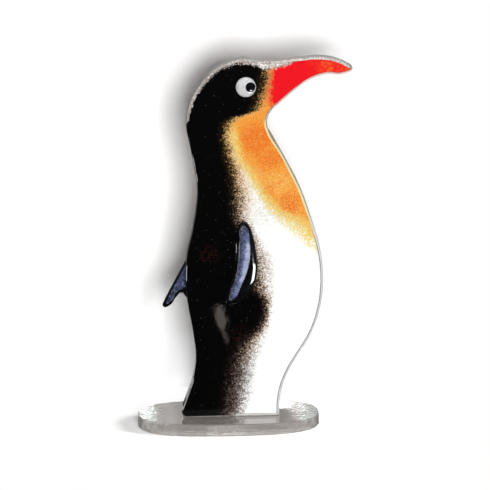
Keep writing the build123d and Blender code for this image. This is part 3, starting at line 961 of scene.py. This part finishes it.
def add_slumped(name, node, falls, material):
    """A leaf or strip of glass whose face, softened in the kiln, falls away towards its outline."""
    shape = remeshed(node, name)
    for corner in shape.verts:
        share = min(max((FRONT - corner.co.y / MM) / FLIPPER_DEPTH, 0.0), 1.0)
        fall = sum(depth * roundness(tree, corner.co, reach) for tree, (depth, reach) in falls)
        corner.co.y += min(fall, FLIPPER_DEPTH) * share * MM
    bmesh.ops.smooth_vert(
        shape, verts=shape.verts, factor=SMOOTHING, use_axis_x=True, use_axis_y=True, use_axis_z=True
    )
    for face in shape.faces:
        face.smooth = True
    return add_piece(name, shape, node, [material])


def add_flipper(black_glass, shimmer):
    """The front flipper and its inlay, slumped."""
    leaf = (outline_tree("front_flipper", FRONT), LEAF_FALL)
    strip = (outline_tree("front_flipper_inlay", INLAY_FLOOR), STRIP_FALL)
    flipper = add_slumped("front_flipper_fired", "front_flipper", [leaf], black_glass)
    add_slumped("front_inlay_fired", "front_flipper_inlay", [leaf, strip], shimmer)
    return flipper


def dome(radius, height, skirt):
    """A round bead spun from its profile, its middle at the origin and its top towards -Y."""
    rows = [(0.0, -height)]
    for step in range(1, DOME_STEPS + 1):
        turn = math.pi / 2 * step / DOME_STEPS
        rows.append((radius * math.sin(turn), -height * math.cos(turn)))
    rows += [(radius, skirt), (0.0, skirt)]
    shape = bmesh.new()
    corners = [shape.verts.new(Vector((across, y, 0.0)) * MM) for across, y in rows]
    parts = corners + [shape.edges.new(pair) for pair in zip(corners, corners[1:])]
    bmesh.ops.spin(
        shape, geom=parts, cent=(0, 0, 0), axis=(0, 1, 0), angle=2 * math.pi, steps=DOME_TURNS, use_merge=True
    )
    bmesh.ops.remove_doubles(shape, verts=shape.verts, dist=MERGE * MM)
    bmesh.ops.recalc_face_normals(shape, faces=shape.faces)
    for face in shape.faces:
        face.smooth = True
    for edge in shape.edges:
        if len(edge.link_faces) == 2:
            edge.smooth = is_soft(edge)
    return shape


def add_eye(white, black):
    """A white bead with a black bead let into it, which leans with the white one's surface."""
    bead = dome(EYE_RADIUS, EYE_HEIGHT, 0.0)
    bmesh.ops.translate(bead, verts=bead.verts, vec=Vector((EYE_ACROSS, FRONT, EYE_UP)) * MM)
    eye = add_piece("eye_white", bead, "eye_bead", [white])
    pupil = dome(PUPIL_RADIUS, PUPIL_DOME, PUPIL_SKIRT)
    bmesh.ops.transform(pupil, verts=pupil.verts, matrix=Matrix.Rotation(PUPIL_LEAN, 4, "Z"))
    seat = Vector((PUPIL_ACROSS, FRONT - PUPIL_SEAT, PUPIL_UP)) * MM
    bmesh.ops.translate(pupil, verts=pupil.verts, vec=seat)
    return [eye, add_piece("eye_pupil", pupil, "pupil_bead", [black])]


def card_material(name, mirrored_low, mirrored_high):
    """Matt white card, seen only from its front, dimmer where it is mirrored, and glowing plain white for the
    camera far away and beside the wall's foot, painted light over its shading.
    """
    material, recipe, place = new_material(name)
    parts = recipe.parts(place)
    aside = recipe.unsigned(parts["X"])
    path = recipe.add("ShaderNodeLightPath").outputs
    tone = recipe.mix(path["Is Diffuse Ray"], CARD_WHITE, CARD_BOUNCE)
    mirrored = recipe.times(path["Is Glossy Ray"], recipe.minus(1.0, path["Is Transmission Ray"]))
    past = recipe.larger(recipe.ramp(parts["Z"], *WALL_FOOT_UP), recipe.ramp(aside, *WALL_FOOT_ACROSS))
    tone = recipe.mix(mirrored, tone, recipe.mix(past, mirrored_low, mirrored_high))
    card = recipe.add("ShaderNodeBsdfDiffuse", None, {"Color": tone}).outputs[0]

    far = recipe.ramp(aside, *FADE_ACROSS, smooth=True)
    far = recipe.larger(far, recipe.ramp(parts["Y"], *FADE_FORWARD, smooth=True))
    far = recipe.larger(far, recipe.ramp(parts["Z"], *FADE_UP, smooth=True))
    # Painted light: beside the foot of the wall the cards glow plain white, covering the shadow there
    corner = recipe.times(recipe.ramp(parts["Y"], *CORNER_BACK), recipe.ramp(parts["Z"], *CORNER_UP))
    corner = recipe.times(corner, recipe.ramp(aside, *CORNER_ACROSS, smooth=True))
    far = recipe.times(recipe.larger(far, corner), path["Is Camera Ray"])
    plain = recipe.add("ShaderNodeEmission", None, {"Color": PURE_WHITE}).outputs[0]
    gone = recipe.add("ShaderNodeBsdfTransparent").outputs[0]
    behind = recipe.add("ShaderNodeNewGeometry").outputs["Backfacing"]
    recipe.finish(recipe.blend(behind, recipe.blend(far, card, plain), gone))
    return material


def add_card(name, turn, shift, *mirrored):
    """One large card of the stage."""
    shape = bmesh.new()
    bmesh.ops.create_grid(shape, x_segments=1, y_segments=1, size=STAGE_HALF * MM)
    bmesh.ops.rotate(shape, verts=shape.verts, cent=(0, 0, 0), matrix=Matrix.Rotation(turn, 3, "X"))
    bmesh.ops.translate(shape, verts=shape.verts, vec=Vector(shift) * MM)
    card = new_object(name, shape)
    card.data.materials.append(card_material(name, *mirrored))
    return card


def add_stage():
    """A white card floor and a white card wall close behind the object."""
    low = (0.0, WALL_BEHIND - STAGE_HALF, -STAGE_DROP)
    floor = add_card("floor_card", 0.0, low, FLOOR_MIRRORED, FLOOR_MIRRORED)
    upright = (0.0, WALL_BEHIND, STAGE_HALF - STAGE_DROP)
    wall = add_card("wall_card", math.pi / 2, upright, WALL_FOOT_MIRRORED, WALL_MIRRORED)
    return floor, wall


def add_world():
    """A dim white room that the camera sees as plain white."""
    world = bpy.data.worlds.new("studio")
    world.use_nodes = True
    recipe = Recipe(world.node_tree)
    levels = [{"Color": PURE_WHITE, "Strength": level} for level in (ROOM_LEVEL, 1.0)]
    room, plain = (recipe.add("ShaderNodeBackground", None, level).outputs[0] for level in levels)
    seen = recipe.add("ShaderNodeLightPath").outputs["Is Camera Ray"]
    recipe.feed(recipe.add("ShaderNodeOutputWorld").inputs["Surface"], recipe.blend(seen, room, plain))
    bpy.context.scene.world = world


def add_light(name, place, target, size, power, shape="RECTANGLE"):
    """A soft light of a width and height."""
    data = bpy.data.lights.new(name, "AREA")
    data.shape = shape
    data.size, data.size_y = size[0] * MM, size[1] * MM
    data.energy = power
    light = bpy.data.objects.new(name, data)
    light.matrix_world = aimed(place, target)
    light.visible_camera = False
    bpy.context.scene.collection.objects.link(light)
    return light


def add_large_light(name, row, middle, target):
    """A large light that is never seen as a highlight, at a turn, rise and distance from a middle."""
    turn, rise, distance, size, power = row
    place = Vector(middle) + direction(turn, rise) * distance
    light = add_light(name, place, target, size, power)
    light.visible_glossy = False
    return light


def add_glint(name, *settings):
    """A small light that only shows as a highlight on polished glass."""
    light = add_light(name, *settings)
    light.visible_diffuse = False
    light.visible_transmission = False
    return light


def linked(name, objects, state):
    """A set of objects that a light counts in, or leaves out."""
    group = bpy.data.collections.new(name)
    for thing in objects:
        group.objects.link(thing)
    for member in group.collection_objects:
        member.light_linking.link_state = state
    return group


def reserve(light, objects, state="INCLUDE"):
    """Makes a light shine on some objects alone, or on all but them."""
    light.light_linking.receiver_collection = linked(light.name + "_reach", objects, state)


def block(light, objects, state="INCLUDE"):
    """Makes some objects alone throw a shadow in a light, or all but them."""
    light.light_linking.blocker_collection = linked(light.name + "_shade", objects, state)


def add_lights(floor, wall, polished):
    """Soft lights beside the camera, overhead, for the floor and behind, and small ones for highlights."""
    origin = (0.0, 0.0, 0.0)
    add_large_light("key", KEY_LIGHT, AIM, BODY_MIDDLE)
    reserve(add_light("overhead", *OVERHEAD), [floor, wall], "EXCLUDE")
    floor_light = add_large_light("floor_light", FLOOR_LIGHT, origin, origin)
    contact_light = add_large_light("contact_light", CONTACT_LIGHT, origin, origin)
    block(contact_light, [nodes["base_plate"]])
    for light in (floor_light, contact_light):
        reserve(light, [floor])
    reserve(add_glint("right_glint", *RIGHT_GLINT), polished)
    reserve(add_glint("left_glint", *LEFT_GLINT), [nodes["black_powder_field"]])
    back_fill = add_large_light("back_fill", BACK_FILL, origin, BODY_MIDDLE)
    back_fill.visible_transmission = False
    reserve(back_fill, [floor, wall, nodes["base_plate"]], "EXCLUDE")
    block(back_fill, [floor, wall], "EXCLUDE")
    for name, across, height, size, power in BASE_GLINTS:
        add_glint(name, (across, BEHIND_BASE, height), (across, 0.0, height), size, power)
    for name, across, forward, size, power in FLAME_GLINTS:
        place = Vector((across, forward, FLAME_UP))
        add_glint(name, place, place + FLAME_AIM, size, power, "ELLIPSE").data.color = FLAME_COLOUR


def add_glass():
    """Every piece in its finish. Gives back the pieces that take the right highlight."""
    edge = edge_group()
    surface = ripple_group()
    powder_glass = powder_material(powder_group(edge), surface)
    for node in ("black_powder_field", "red_powder_field", "orange_powder_field", "white_powder_field"):
        dress(node, powder_glass)
    add_sheet(clear_material(surface), rim_material(edge))
    dress("base_plate", base_material())
    dress("foot_bond", bond_material())
    black_glass = flipper_material(surface)
    shimmer = inlay_material(surface)
    dress("back_flipper", black_glass)
    dress("back_flipper_inlay", shimmer)
    flipper = add_flipper(black_glass, shimmer)
    white = bead_material("white_bead_glass", EYE_TONES, 0.12)
    return [flipper, *add_eye(white, bead_material("black_bead_glass", PUPIL_TONES, 0.05))]


def main():
    add_camera()
    add_world()
    floor, wall = add_stage()
    add_lights(floor, wall, add_glass())
    bpy.context.scene.view_settings.view_transform = "Standard"


main()
